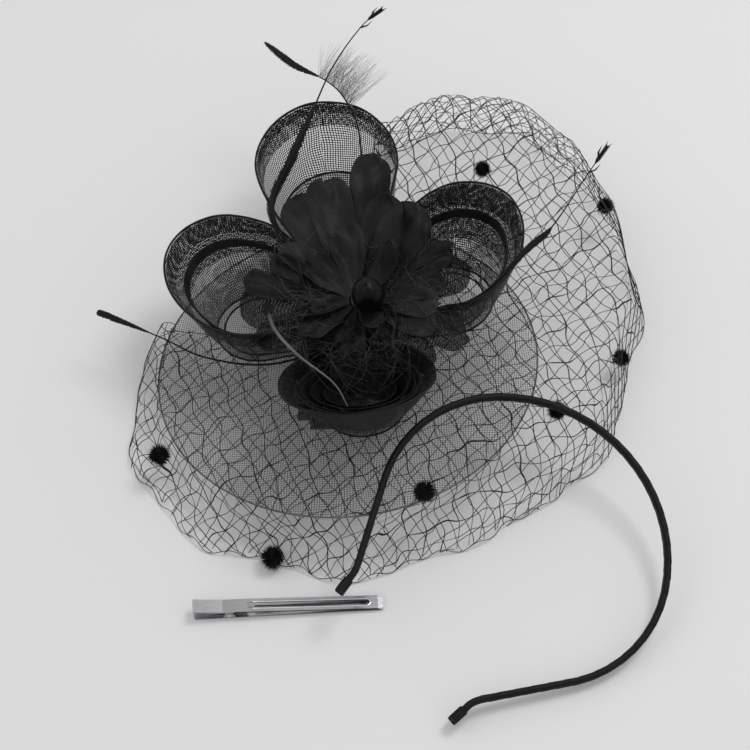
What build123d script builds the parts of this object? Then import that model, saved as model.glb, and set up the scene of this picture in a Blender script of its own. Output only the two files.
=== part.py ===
from build123d import *
from math import asin, atan2, cos, degrees, pi, radians, sin
import os

# Fascinator headpiece with its loose hair clip and headband, as they lie on a table.
# Millimetres. +X is right, +Y is away from the wearer's face edge, +Z is up, and the table is Z = 0.
# The headpiece is drawn flat around its own centre and then set down at a slight lean.

# ---- how the pieces lie ----
brim_centre = (-12.3, 6.2, 15.0)
brim_lean = (-5.6, -5.1, 0)
seat = Location(brim_centre, brim_lean)
sewn_gap = 0.3

# ---- sinamay saucer ----
brim_diameter = 160.0
crown_flat_diameter = 80.0
crown_rise = 3.0
brim_thickness = 1.0
hem_diameter = 2.0

# ---- underside fittings ----
pad_diameter = 44.0
pad_thickness = 1.5
strap_width = 8.0
strap_length = 30.0
strap_gap = 6.4
strap_thickness = 0.8
strap_foot = 5.0
strap_clearance = 1.0

# ---- centre of the trimming ----
hub_at = (8.0, 3.0)
hub_diameter = 14.0
hub_cap_diameter = 16.0
hub_top = 20.0
hub_cap_thickness = 2.0
gather_width = 5.0
veil_inner_diameter = 68.0
stem_diameter = 10.0
stem_length = 9.0
collar_diameter = 8.0
collar_length = 4.0
stem_pin_diameter = 5.0

# ---- ribbon loops: heading, lower reach and radius, upper reach and radius, rise of the upper edge ----
ribbon_thickness = 0.9
ribbon_foot = 6.6
ribbon_edge_rise = 19.0
tail_reach_low = 14.0
tail_reach_high = 17.0
tail_radius_low = 4.0
tail_radius_high = 8.0
nest_inset = 5.0
nest_drop = 10.0
tail_inset = 2.0
loop_shapes = {
    "back": (100.0, 60.0, 20.0, 81.0, 31.0, 16.0),
    "left": (163.0, 46.0, 20.0, 56.0, 29.0, 17.0),
    "right": (34.0, 42.0, 20.0, 52.0, 30.0, 20.0),
    "front": (270.0, 30.0, 18.0, 45.0, 31.0, 22.0),
}

# ---- flower: per layer the height on the stem, petal length, width, count, dish rise, first heading ----
flower_lean = 14.0
petal_thickness = 0.7
petal_layers = {
    "petals_back": (0.0, 56.0, 21.0, (38, 66, 94, 122, 152), 25.0),
    "petals_middle": (3.0, 36.0, 20.0, (20, 80, 140, 205, 262, 314), 15.0),
    "petals_inner": (6.0, 24.0, 15.0, (50, 122, 194, 266, 338), 15.0),
}
petal_root_width = 7.0
petal_hub_diameter = 13.0
cup_steps = ((0.35, 0.12), (0.7, 0.5), (1.0, 1.0))
bud_diameter = 15.0
bud_length = 20.0
bud_seat_share = 0.06
bud_clearance = 1.0
ruffle_diameter = 52.0
ruffle_rise = 5.5
ruffle_scallops = 14
ruffle_scallop_share = 0.16
ruffle_seat = 2.1
ruffle_thickness = 0.8

# ---- feathers: root's reach, heading and height, a point on the shaft, tip, shaft radius, vane start and width ----
shaft_radius = 0.7
cap_root = hub_cap_diameter / 2 - 1.2
cap_seat = hub_top + hub_cap_thickness + shaft_radius + 2 * sewn_gap
side_root = hub_diameter / 2 + sewn_gap + 0.1
feather_shapes = {
    "feather_tall": ((cap_root, 130, cap_seat), (-22.0, 62.0, 50.0), (22.0, 132.0, 80.0), 0.7, 0.30, 6.0),
    "feather_lance": ((cap_root, 87, cap_seat), (10.0, 84.0, 46.0), (-32.0, 140.0, 60.0), 0.7, 0.76, 5.0),
    "feather_right": ((cap_root, -8, cap_seat), (69.0, 6.0, 47.0), (113.0, 60.0, 58.0), 0.7, 0.42, 5.0),
    "feather_left": ((side_root, 196, 12.0), (-47.0, -12.5, 17.0), (-102.0, 15.0, 25.0), 0.6, 0.62, 5.0),
    "feather_front": ((37.7, 174.7, 29.4), (-16.5, -32.0, 41.8), (6.5, -68.0, 48.8), 0.9, 0.10, 3.0),
}
vane_thickness = 0.7
wisp_place = 0.55
wisp_clearance = 1.0
wisp_length = 32.0
wisp_spread = 60.0
wisp_barbs = 7
barb_root_width = 1.6
wisp_lengthwise = (0.35, 0.8, 0.3)
wisp_upward = (0.25, -0.35, 0.9)

# ---- veil: hem, crest, folds and net ----
hem_reach = 107.0
hem_shift = 17.0
hem_sweep = 30.0
veil_sweep_heading = 55.0
hem_fold_depth = 3.0
hem_flat = 3.5
crest_inset = 6.0
crest_fold_depth = 2.0
crest_height = 20.0
crest_swell = 16.0
veil_columns = 32
veil_drape_diameter = 166.0
veil_drape_rise = 2.6
veil_inner_rise = 6.2
veil_thickness = 1.0
veil_opening = (84.0, 164.0)
mesh_pitch_x = 14.5
mesh_pitch_y = 13.0
mesh_strand = 1.6
mesh_margin = 9.0
mesh_edge = 13.0

# ---- chenille dots: place from the middle of the brim, height, diameter, lean of the net there ----
dot_shapes = [
    (60.6, 96.5, 25.0, 8.0, 0.0),
    (113.8, 83.9, 18.0, 8.5, 50.0),
    (113.1, 7.6, 8.0, 8.0, 60.0),
    (85.8, -25.1, 12.0, 8.5, 0.0),
    (31.3, -63.5, 12.0, 10.0, 0.0),
    (-26.2, -84.7, 6.0, 11.0, 65.0),
    (-72.8, -41.7, 12.0, 10.0, 30.0),
]

# ---- headband ----
band_origin = (97.4, -43.4, 26.3)
band_x = (0.6702, -0.6934, -0.2647)
band_normal = (0.1097, -0.2602, 0.9593)
band_width = 4.2
band_thickness = 2.8
band_corner = 0.8
core_width = 3.0
core_thickness = 1.0
crown_arc = (62.0, 53.5)
shoulder_arc = (50.0, 67.3)
leg_length = 35.0
right_flare = (12.0, 30.5)
left_flare = (17.7, 18.9)
band_tip_length = 8.0
tip_wrap_thickness = 0.5
tip_wrap_length = 6.0

# ---- alligator clip ----
clip_at = (-71.3, -102.6)
clip_heading = 3.4
clip_length = 74.0
clip_width = 5.6
clip_sheet = 0.6
pivot_x = 14.0
pivot_height = 2.6
pin_diameter = 1.2
pin_head = 0.5
ear_height = 4.2
ear_length = 4.6
lug_drop = 1.2
lug_fillet = 0.2
arm_rise = 4.9
jaw_tip_height = 1.3
thumb_height = 6.6
thumb_length = 11.5
slot_width = 2.4
slot_start = 21.0
slot_end = 69.0
play = 0.15
spring_diameter = 2.6
spring_wire = 0.5
spring_leg = 9.0

os.makedirs("parts", exist_ok=True)


def at_heading(distance, heading, height=0.0):
    """A point at a distance and heading from the centre of the trimming."""
    angle = radians(heading)
    return (hub_at[0] + distance * cos(angle), hub_at[1] + distance * sin(angle), height)


# ================= saucer and underside =================

brim_radius = brim_diameter / 2
crown_radius = crown_flat_diameter / 2
hem_radius_small = hem_diameter / 2
sheet_edge = brim_radius - hem_diameter

with BuildPart() as brim_disc:
    with BuildSketch(Plane.XZ):
        with BuildLine():
            Line((0, crown_rise), (crown_radius, crown_rise))
            TangentArc((crown_radius, crown_rise), (sheet_edge, 0), tangent=(1, 0))
            Line((sheet_edge, 0), (sheet_edge, brim_thickness))
            TangentArc(
                (crown_radius, crown_rise + brim_thickness), (sheet_edge, brim_thickness), tangent=(1, 0)
            )
            Line((crown_radius, crown_rise + brim_thickness), (0, crown_rise + brim_thickness))
            Line((0, crown_rise + brim_thickness), (0, crown_rise))
        make_face()
    revolve(axis=Axis.Z)
brim_disc.part.label = "brim_disc"

with BuildPart() as brim_hem:
    with BuildSketch(Plane.XZ):
        with Locations((brim_radius - hem_radius_small, brim_thickness / 2)):
            RegularPolygon(hem_radius_small, 6)
        with Locations((sheet_edge - hem_radius_small, brim_thickness / 2)):
            Rectangle(hem_diameter, hem_diameter * 2, mode=Mode.SUBTRACT)
    revolve(axis=Axis.Z)
brim_hem.part.label = "brim_hem"

with BuildPart() as felt_pad:
    with BuildSketch(Plane.XY.offset(crown_rise - pad_thickness)):
        Circle(pad_diameter / 2)
    extrude(amount=pad_thickness)
felt_pad.part.label = "felt_pad"


def strap(label, side):
    """A sewn ribbon strap beside the pad that a clip or headband slides through."""
    drop = strap_gap + strap_thickness
    middle = side * (pad_diameter / 2 + strap_width / 2 + strap_clearance)
    with BuildPart() as band:
        with BuildSketch(Plane.XZ.offset(-middle - strap_width / 2)):
            with Locations((0, crown_rise - drop / 2)):
                Rectangle(strap_length, drop)
            with Locations((0, crown_rise - strap_gap / 2)):
                Rectangle(strap_length - 2 * strap_thickness, strap_gap, mode=Mode.SUBTRACT)
            with Locations((0, crown_rise - strap_thickness / 2)):
                with GridLocations(strap_length + strap_foot - strap_thickness, 0, 2, 1):
                    Rectangle(strap_foot, strap_thickness)
        extrude(amount=strap_width)
    band.part.label = label
    return band


strap_back = strap("strap_back", 1)
strap_front = strap("strap_front", -1)

# ================= trimming centre =================

brim_top = crown_rise + brim_thickness
cap_top = hub_top + hub_cap_thickness

with BuildPart() as stitched_hub:
    with BuildSketch(Plane.XY.offset(brim_top)):
        with Locations(hub_at):
            Circle(hub_diameter / 2)
    extrude(amount=hub_top - brim_top)
    with BuildSketch(Plane.XY.offset(hub_top)):
        with Locations(hub_at):
            Circle(hub_cap_diameter / 2)
    extrude(amount=hub_cap_thickness)
stitched_hub.part.label = "stitched_hub"

gather_radius = veil_inner_diameter / 2 - sewn_gap

with BuildPart() as veil_gather:
    with BuildSketch(Plane.XY.offset(brim_top)):
        Circle(gather_radius)
        Circle(gather_radius - gather_width, mode=Mode.SUBTRACT)
    extrude(amount=veil_inner_rise - brim_top)
veil_gather.part.label = "veil_gather"

# ================= ribbon loops =================


def teardrop(tail_reach, tail_radius, reach, radius):
    """Closed outline of a ribbon loop: a small arc at its tail, two straight sides and a round end."""
    lean = asin((radius - tail_radius) / (reach - tail_reach))
    touch = Vector(-sin(lean), cos(lean))
    below = Vector(-sin(lean), -cos(lean))
    half_turn = (pi / 2 + lean) / 2
    tail = Vector(tail_reach, 0)
    end = Vector(reach, 0)
    bulge = Vector(cos(half_turn), sin(half_turn))
    bulge_below = Vector(cos(half_turn), -sin(half_turn))
    with BuildLine() as outline:
        Line(tail + touch * tail_radius, end + touch * radius)
        ThreePointArc(end + touch * radius, end + bulge * radius, end + Vector(radius, 0))
        ThreePointArc(end + Vector(radius, 0), end + bulge_below * radius, end + below * radius)
        Line(end + below * radius, tail + below * tail_radius)
        ThreePointArc(tail + below * tail_radius, tail - Vector(tail_radius, 0), tail + touch * tail_radius)
    return outline.line


def ribbon_loop(label, shape, inset, drop, tail_shrink):
    """A strip of sinamay on edge, bent into a flared teardrop: its outer wall less its inner wall."""
    heading, reach_low, radius_low, reach_high, radius_high, rise = shape
    end_drop = drop / (ribbon_edge_rise + reach_high * sin(radians(rise)) - ribbon_foot)
    tail_drop = drop / (ribbon_edge_rise + tail_reach_high * sin(radians(rise)) - ribbon_foot)
    reach_high -= end_drop * (reach_high - reach_low)
    radius_high -= end_drop * (radius_high - radius_low)
    tail_reach = tail_reach_high - tail_drop * (tail_reach_high - tail_reach_low)
    tail_radius = tail_radius_high - tail_drop * (tail_radius_high - tail_radius_low)
    along = Vector(cos(radians(heading)), sin(radians(heading)))
    foot = Plane(origin=at_heading(0, heading, ribbon_foot), x_dir=along, z_dir=(0, 0, 1))
    slope = Vector(along.X * cos(radians(rise)), along.Y * cos(radians(rise)), sin(radians(rise)))
    across = Vector(-along.Y, along.X)
    rim = Plane(origin=at_heading(0, heading, ribbon_edge_rise - drop), x_dir=slope, z_dir=slope.cross(across))
    with BuildPart() as ribbon:
        for wall, mode in ((0.0, Mode.ADD), (ribbon_thickness, Mode.SUBTRACT)):
            shrink = inset + wall
            with BuildSketch(foot) as foot_shape:
                tail_low = tail_radius_low - tail_shrink / 2 - wall
                add(teardrop(tail_reach_low, tail_low, reach_low, radius_low - shrink))
                make_face()
            with BuildSketch(rim) as rim_shape:
                add(teardrop(tail_reach, tail_radius - tail_shrink - wall, reach_high, radius_high - shrink))
                make_face()
            loft(ruled=True, mode=mode)
    ribbon.part.label = label
    return ribbon


loops = []
for side, shape in loop_shapes.items():
    loops.append(ribbon_loop("loop_" + side + "_outer", shape, 0.0, 0.0, 0.0))
    loops.append(ribbon_loop("loop_" + side + "_inner", shape, nest_inset, nest_drop, tail_inset))


# ================= flower =================

flower_plane = Plane(Location((hub_at[0], hub_at[1], cap_top + stem_length), (flower_lean, 0, 0)))
bud_base = petal_layers["petals_inner"][0] + petal_thickness + bud_clearance


def dish(radius, rise, thickness):
    """A shallow cup around the stem, as deep as its rise, to cut petals out of."""
    below = [(0, 0)] + [(radius * share, rise * height) for share, height in cup_steps]
    above = [(x, z + thickness) for x, z in reversed(below)]
    with BuildPart() as cup:
        with BuildSketch(Plane.XZ):
            with BuildLine():
                Polyline(*below, *above, close=True)
            make_face()
        revolve(axis=Axis.Z)
    return cup.part


def petal_layer(label, shape):
    """One die-cut layer of satin petals, cupped and threaded on the stem."""
    base, length, width, headings, rise = shape
    cup = dish(length, rise, petal_thickness)
    with BuildPart() as layer:
        with BuildSketch():
            Circle(petal_hub_diameter / 2)
            for heading in headings:
                with BuildSketch(Plane.XY.rotated((0, 0, heading)), mode=Mode.PRIVATE) as petal:
                    add(teardrop(petal_hub_diameter / 2, petal_root_width / 2, length - width / 2, width / 2))
                    make_face()
                add(petal.sketch)
            Circle(stem_pin_diameter / 2 + play, mode=Mode.SUBTRACT)
        extrude(amount=rise + petal_thickness)
        add(cup, mode=Mode.INTERSECT)
    layer.part.locate((flower_plane.offset(base)).location)
    layer.part.label = label
    return layer


petals = [petal_layer(label, shape) for label, shape in petal_layers.items()]

scallop_radius = ruffle_diameter / 2 * ruffle_scallop_share
scallop_reach = ruffle_diameter / 2 - scallop_radius

with BuildPart() as lace_ruffle:
    with BuildSketch():
        Circle(scallop_reach + scallop_radius / 8)
        with PolarLocations(scallop_reach, ruffle_scallops):
            Circle(scallop_radius)
        Circle(collar_diameter / 2 + play, mode=Mode.SUBTRACT)
    extrude(amount=ruffle_rise + ruffle_thickness)
    add(dish(ruffle_diameter / 2, ruffle_rise, ruffle_thickness), mode=Mode.INTERSECT)
lace_ruffle.part.locate(flower_plane.offset(-ruffle_seat).location)
lace_ruffle.part.label = "lace_ruffle"

with BuildPart() as flower_stem:
    with BuildSketch(Plane.XY.offset(cap_top)):
        with Locations(hub_at):
            Circle(stem_diameter / 2)
    extrude(amount=stem_length - collar_length)
    with BuildSketch(flower_plane.offset(-collar_length - play)):
        Circle(collar_diameter / 2)
    extrude(amount=collar_length)
    with BuildSketch(flower_plane.offset(-collar_length)):
        Circle(stem_pin_diameter / 2)
    extrude(amount=bud_base + collar_length)
flower_stem.part.label = "flower_stem"

with BuildPart() as flower_bud:
    with BuildSketch(Plane.XZ):
        Ellipse(bud_diameter / 2, bud_length / 2)
        with Locations((-bud_diameter / 2, 0)):
            Rectangle(bud_diameter, bud_length, mode=Mode.SUBTRACT)
        with Locations((0, -bud_length / 2)):
            Rectangle(bud_diameter, bud_length * 2 * bud_seat_share, mode=Mode.SUBTRACT)
    revolve(axis=Axis.Z)
flower_bud.part.locate(flower_plane.offset(bud_base + bud_length * (0.5 - bud_seat_share)).location)
flower_bud.part.label = "flower_bud"

# ================= feathers =================


def feather(label, shape):
    """A curved shaft with a narrow vane towards its tip."""
    root_place, middle, tip, radius, vane_start, vane_width = shape
    root = Vector(at_heading(*root_place))
    with BuildPart() as plume:
        with BuildLine() as shaft:
            ThreePointArc(root, middle, tip)
        with BuildSketch(Plane(origin=shaft.line @ 0, z_dir=shaft.line % 0)):
            RegularPolygon(radius, 6)
        sweep()
        chord = Vector(tip) - root
        blade = Plane(origin=root, x_dir=chord, z_dir=chord.cross(Vector(middle) - root))
        start = blade.to_local_coords(shaft.line @ vane_start)
        centre = blade.to_local_coords(shaft.line @ ((1 + vane_start) / 2))
        end = blade.to_local_coords(shaft.line @ 1)
        spread = Vector(0, vane_width / 2)
        with BuildSketch(blade):
            with BuildLine():
                ThreePointArc(start, centre + spread, end)
                ThreePointArc(end, centre - spread, start)
            make_face()
        extrude(amount=vane_thickness / 2, both=True)
    plume.part.label = label
    return plume, shaft.line


feathers = []
shafts = {}
for label, shape in feather_shapes.items():
    plume, shaft = feather(label, shape)
    feathers.append(plume)
    shafts[label] = shaft

wisp_foot = shafts["feather_lance"] @ wisp_place
wisp_plane = Plane(origin=wisp_foot, x_dir=wisp_lengthwise, z_dir=wisp_upward).offset(wisp_clearance)

with BuildPart() as feather_down:
    with BuildSketch(wisp_plane):
        for barb in range(wisp_barbs):
            angle = wisp_spread * (barb / (wisp_barbs - 1) - 0.5)
            reach = wisp_length * (0.7 + 0.3 * cos(3 * barb))
            far = (reach * cos(radians(angle)), reach * sin(radians(angle)))
            with BuildLine(mode=Mode.PRIVATE) as edge:
                Polyline((0, -barb_root_width / 2), far, (0, barb_root_width / 2), close=True)
            add(make_face(edge.line, mode=Mode.PRIVATE))
    extrude(amount=vane_thickness)
feather_down.part.label = "feather_down"

# ================= veil =================


def veil_reach(heading):
    """How far the veil's hem lies from the middle of the brim at a heading."""
    facing = cos(radians(heading - veil_sweep_heading))
    return hem_reach + hem_shift * facing + hem_sweep * max(0.0, facing) ** 4


def on_brim(reach, heading, rise):
    """A point given on the leaning brim, as a place over the table."""
    local = Vector(reach * cos(radians(heading)), reach * sin(radians(heading)), rise)
    return brim_plane.from_local_coords(local)


def over_table(reach, heading, height):
    """A point at a reach and heading from the middle of the brim and a height over the table."""
    angle = radians(heading)
    return Vector(brim_centre[0] + reach * cos(angle), brim_centre[1] + reach * sin(angle), height)


def veil_column(corner):
    """The outer and inner corners of the veil along one fold line, from gathered edge to hem."""
    heading = veil_opening[1] + (360 - veil_opening[1] + veil_opening[0]) * corner / veil_columns
    fold = 1 if corner % 2 else -1
    facing = cos(radians(heading - veil_sweep_heading))
    hem = veil_reach(heading) + fold * hem_fold_depth
    crest = veil_reach(heading) - crest_inset * (1 + 0.5 * facing) + fold * crest_fold_depth
    height = crest_height + crest_swell * facing
    drape = veil_drape_diameter / 2
    outer = [
        on_brim(veil_inner_diameter / 2, heading, veil_inner_rise),
        on_brim(drape, heading, veil_drape_rise),
        over_table(crest, heading, height),
        over_table(hem - hem_flat, heading, veil_thickness),
        over_table(hem, heading, veil_thickness),
    ]
    inner = [
        on_brim(veil_inner_diameter / 2, heading, veil_inner_rise - veil_thickness),
        on_brim(drape - veil_thickness * 0.6, heading, veil_drape_rise - veil_thickness),
        over_table(crest - veil_thickness * 0.8, heading, height - veil_thickness * 0.8),
        over_table(hem - hem_flat - veil_thickness * 0.8, heading, 0),
        over_table(hem, heading, 0),
    ]
    return outer, inner


def triangles(a, b, c, d):
    """Two flat faces that close the four-sided patch a, b, c, d."""
    return [Face(Wire.make_polygon([a, b, c])), Face(Wire.make_polygon([a, c, d]))]


brim_plane = Plane(seat)
columns = [veil_column(corner) for corner in range(veil_columns + 1)]
rings = len(columns[0][0])
facets = []
for (outer, inner), (next_outer, next_inner) in zip(columns, columns[1:]):
    for ring in range(rings - 1):
        facets += triangles(outer[ring], outer[ring + 1], next_outer[ring + 1], next_outer[ring])
        facets += triangles(inner[ring], next_inner[ring], next_inner[ring + 1], inner[ring + 1])
    facets += triangles(outer[0], next_outer[0], next_inner[0], inner[0])
    facets += triangles(outer[-1], inner[-1], next_inner[-1], next_outer[-1])
for outer, inner in (columns[0], columns[-1]):
    for ring in range(rings - 1):
        facets += triangles(outer[ring], inner[ring], inner[ring + 1], outer[ring + 1])
veil_sheet = Solid(Shell(facets))

mesh_holes = []
across = int(2 * (hem_reach + hem_sweep) / mesh_pitch_x) + 2
deep = int(4 * (hem_reach + hem_sweep) / mesh_pitch_y) + 4
for row in range(deep):
    for column in range(across):
        x = (column - across / 2 + (row % 2) / 2) * mesh_pitch_x
        y = (row - deep / 2) * mesh_pitch_y / 2
        reach = (x * x + y * y) ** 0.5
        heading = degrees(atan2(y, x)) % 360
        clear = degrees(mesh_margin / max(reach, 1))
        netted = not veil_opening[0] - clear < heading < veil_opening[1] + clear
        outside = reach > veil_inner_diameter / 2 + mesh_margin
        if netted and outside and reach < veil_reach(heading) - mesh_edge:
            mesh_holes.append((brim_centre[0] + x, brim_centre[1] + y))
print("net gaps", len(mesh_holes))

with BuildPart() as veil_net:
    add(veil_sheet)
    with BuildSketch(Plane.XY.offset(-1)):
        with BuildLine(mode=Mode.PRIVATE) as diamond:
            Polyline(
                (mesh_pitch_x / 2 - mesh_strand, 0),
                (0, mesh_pitch_y / 2 - mesh_strand),
                (mesh_strand - mesh_pitch_x / 2, 0),
                (0, mesh_strand - mesh_pitch_y / 2),
                close=True,
            )
        with Locations(*mesh_holes):
            add(make_face(diamond.line, mode=Mode.PRIVATE))
    extrude(amount=100, mode=Mode.SUBTRACT)
veil_net.part.label = "veil_net"

# ================= chenille dots =================


def chenille_dot(label, shape):
    """A tufted ball that sits on the net: four square tufts turned into each other."""
    x, y, height, diameter, lean = shape
    heading = atan2(y, x)
    outward = Vector(cos(heading) * sin(radians(lean)), sin(heading) * sin(radians(lean)), cos(radians(lean)))
    place = Vector(brim_centre[0] + x, brim_centre[1] + y, height)
    hits = veil_sheet.find_intersection_points(Axis(place + outward * diameter * 4, outward * -1))
    touch, normal = max(hits, key=lambda hit: hit[0].dot(outward))
    away = normal if normal.dot(outward) > 0 else normal * -1
    centre = touch + away * (diameter / 2 + sewn_gap)
    tuft = diameter / 3**0.5
    with BuildPart() as dot:
        for turn in ((0, 0, 0), (45, 0, 20), (0, 45, 50), (30, 30, 80)):
            Box(tuft, tuft, tuft, rotation=turn)
    dot.part.locate(Location(centre))
    dot.part.label = label
    return dot


dots = [chenille_dot(f"chenille_dot_{count + 1}", shape) for count, shape in enumerate(dot_shapes)]

# ================= headband =================

band_plane = Plane(origin=band_origin, x_dir=band_x, z_dir=band_normal)

with BuildLine() as arch:
    crown_right = JernArc((0, 0), (1, 0), crown_arc[0], -crown_arc[1])
    shoulder_right = JernArc(crown_right @ 1, crown_right % 1, shoulder_arc[0], -shoulder_arc[1])
    leg_right = Line(shoulder_right @ 1, shoulder_right @ 1 + (shoulder_right % 1) * leg_length)
    flare_right = JernArc(leg_right @ 1, leg_right % 1, right_flare[0], right_flare[1])
    tip_right = Line(flare_right @ 1, flare_right @ 1 + (flare_right % 1) * band_tip_length)
    crown_left = JernArc((0, 0), (-1, 0), crown_arc[0], crown_arc[1])
    shoulder_left = JernArc(crown_left @ 1, crown_left % 1, shoulder_arc[0], shoulder_arc[1])
    leg_left = Line(shoulder_left @ 1, shoulder_left @ 1 + (shoulder_left % 1) * leg_length)
    flare_left = JernArc(leg_left @ 1, leg_left % 1, left_flare[0], -left_flare[1])
    tip_left = Line(flare_left @ 1, flare_left @ 1 + (flare_left % 1) * band_tip_length)

arch_path = arch.wire()
arch_start = Plane(origin=arch_path @ 0, x_dir=(0, 0, 1), z_dir=arch_path % 0)
print("headband length", round(arch_path.length, 1))


def band_section(margin):
    """The headband's flat section with its corners taken off, grown by a margin."""
    with BuildSketch() as section:
        Rectangle(band_width + 2 * margin, band_thickness + 2 * margin)
        chamfer(section.vertices(), band_corner)
    return section.sketch


cover_section = band_section(0)
wrap_section = band_section(tip_wrap_thickness)

with BuildPart() as headband_core:
    with BuildSketch(arch_start):
        Rectangle(core_width, core_thickness)
    sweep(path=arch_path)
headband_core.part.label = "headband_core"

with BuildPart() as headband_cover:
    with BuildSketch(arch_start):
        add(cover_section)
    sweep(path=arch_path)
    add(headband_core.part, mode=Mode.SUBTRACT)
headband_cover.part.label = "headband_cover"


def tip_wrap(label, end, inward):
    """The ribbon turned back over itself and glued round one end of the headband."""
    with BuildPart() as wrap:
        with BuildSketch(Plane(origin=end, x_dir=(0, 0, 1), z_dir=inward)):
            add(wrap_section)
            add(cover_section, mode=Mode.SUBTRACT)
        extrude(amount=tip_wrap_length)
    wrap.part.label = label
    return wrap


tip_wrap_right = tip_wrap("tip_wrap_right", tip_right @ 1, (tip_right % 1) * -1)
tip_wrap_left = tip_wrap("tip_wrap_left", tip_left @ 1, (tip_left % 1) * -1)

# ================= alligator clip =================

inner_width = clip_width - 2 * (clip_sheet + play)
pin_middle = (pivot_x, pivot_height)
lug_gap_top = arm_rise - clip_sheet - lug_fillet

with BuildPart() as clip_lower_arm:
    with BuildSketch():
        with Locations((clip_length / 2, 0)):
            RectangleRounded(clip_length, clip_width, 1.2)
    extrude(amount=clip_sheet)
    with BuildSketch(Plane.XZ.offset(-clip_width / 2)):
        with Locations((pivot_x, pivot_height / 2)):
            Rectangle(ear_length, pivot_height)
        with Locations(pin_middle):
            Circle(ear_height - pivot_height)
    extrude(amount=clip_width)
    with BuildSketch(Plane.XZ.offset(-clip_width / 2 + clip_sheet)):
        with Locations((pivot_x, ear_height / 2 + clip_sheet)):
            Rectangle(ear_length, ear_height)
    extrude(amount=clip_width - 2 * clip_sheet, mode=Mode.SUBTRACT)
    with BuildSketch(Plane.XZ.offset(-clip_width)):
        with Locations(pin_middle):
            Circle(pin_diameter / 2)
    extrude(amount=2 * clip_width, mode=Mode.SUBTRACT)
clip_lower_arm.part.label = "clip_lower_arm"

with BuildPart() as clip_upper_arm:
    with BuildSketch(Plane.XZ.offset(-clip_width / 2)):
        with BuildLine():
            Polyline(
                (0, thumb_height),
                (thumb_length, arm_rise + 0.1),
                (pivot_x + ear_length / 2, arm_rise),
                (clip_length - 2, jaw_tip_height + clip_sheet),
                (clip_length, jaw_tip_height),
                (clip_length, jaw_tip_height - clip_sheet),
                (clip_length - 3, jaw_tip_height),
                (pivot_x + ear_length / 2, arm_rise - clip_sheet),
                (thumb_length, arm_rise + 0.1 - clip_sheet),
                (0, thumb_height - clip_sheet),
                close=True,
            )
        make_face()
    extrude(amount=clip_width)
    with BuildSketch(Plane.XZ.offset(-inner_width / 2)):
        with Locations(pin_middle):
            Circle(lug_drop + play)
        with Locations((pivot_x, (pivot_height + arm_rise - clip_sheet / 2) / 2)):
            Rectangle(2 * (lug_drop + play), arm_rise - clip_sheet / 2 - pivot_height)
    extrude(amount=inner_width)
    with BuildSketch(Plane.XZ.offset(-inner_width / 2 + clip_sheet)):
        with Locations((pivot_x, lug_gap_top / 2)):
            Rectangle(2 * (lug_drop + 2 * play), lug_gap_top)
    extrude(amount=inner_width - 2 * clip_sheet, mode=Mode.SUBTRACT)
    with BuildSketch():
        with Locations(((slot_start + slot_end) / 2, 0)):
            SlotOverall(slot_end - slot_start, slot_width)
    extrude(amount=thumb_height, mode=Mode.SUBTRACT)
    with BuildSketch(Plane.XZ.offset(-clip_width)):
        with Locations(pin_middle):
            Circle(pin_diameter / 2 + play)
    extrude(amount=2 * clip_width, mode=Mode.SUBTRACT)
clip_upper_arm.part.label = "clip_upper_arm"

with BuildPart() as clip_pin:
    with BuildSketch(Plane.XZ.offset(-clip_width / 2 - pin_head)):
        with Locations(pin_middle):
            Circle(pin_diameter / 2)
    extrude(amount=clip_width + 2 * pin_head)
    for side in (-1, 1):
        with BuildSketch(Plane.XZ.offset(side * (clip_width / 2 + pin_head / 2) - pin_head / 2)):
            with Locations(pin_middle):
                Circle(pin_diameter * 0.8)
        extrude(amount=pin_head)
clip_pin.part.label = "clip_pin"

coil_length = inner_width - 2 * clip_sheet - 2 * play

with BuildPart() as clip_spring:
    with BuildSketch(Plane.XZ.offset(-coil_length / 2)):
        with Locations(pin_middle):
            Circle(spring_diameter / 2)
        with BuildLine():
            Polyline(
                (pivot_x, pivot_height - spring_diameter / 2),
                (pivot_x - spring_leg, clip_sheet + 0.1),
                (pivot_x - spring_leg, clip_sheet + 0.1 + spring_wire),
                (pivot_x, pivot_height - spring_diameter / 2 + spring_wire),
                close=True,
            )
        make_face()
        with Locations(pin_middle):
            Circle(pin_diameter / 2 + play, mode=Mode.SUBTRACT)
    extrude(amount=coil_length)
clip_spring.part.label = "clip_spring"

# ================= set down on the table and write =================

trimming = [brim_disc, brim_hem, felt_pad, strap_back, strap_front, stitched_hub, veil_gather, lace_ruffle]
trimming += [*loops, *petals, flower_stem, flower_bud, *feathers, feather_down]
for piece in trimming:
    piece.part.move(seat)

loose_band = [headband_core, headband_cover, tip_wrap_right, tip_wrap_left]
for piece in loose_band:
    piece.part.move(band_plane.location)

loose_clip = [clip_lower_arm, clip_upper_arm, clip_pin, clip_spring]
for piece in loose_clip:
    piece.part.move(Location((*clip_at, 0), (0, 0, clip_heading)))

everything = [*trimming, veil_net, *dots, *loose_band, *loose_clip]
for piece in everything:
    export_step(piece.part, "parts/" + piece.part.label + ".step")

print("pieces", len(everything))
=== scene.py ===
import math
import random

import bpy
from mathutils import Matrix, Vector, noise


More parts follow.
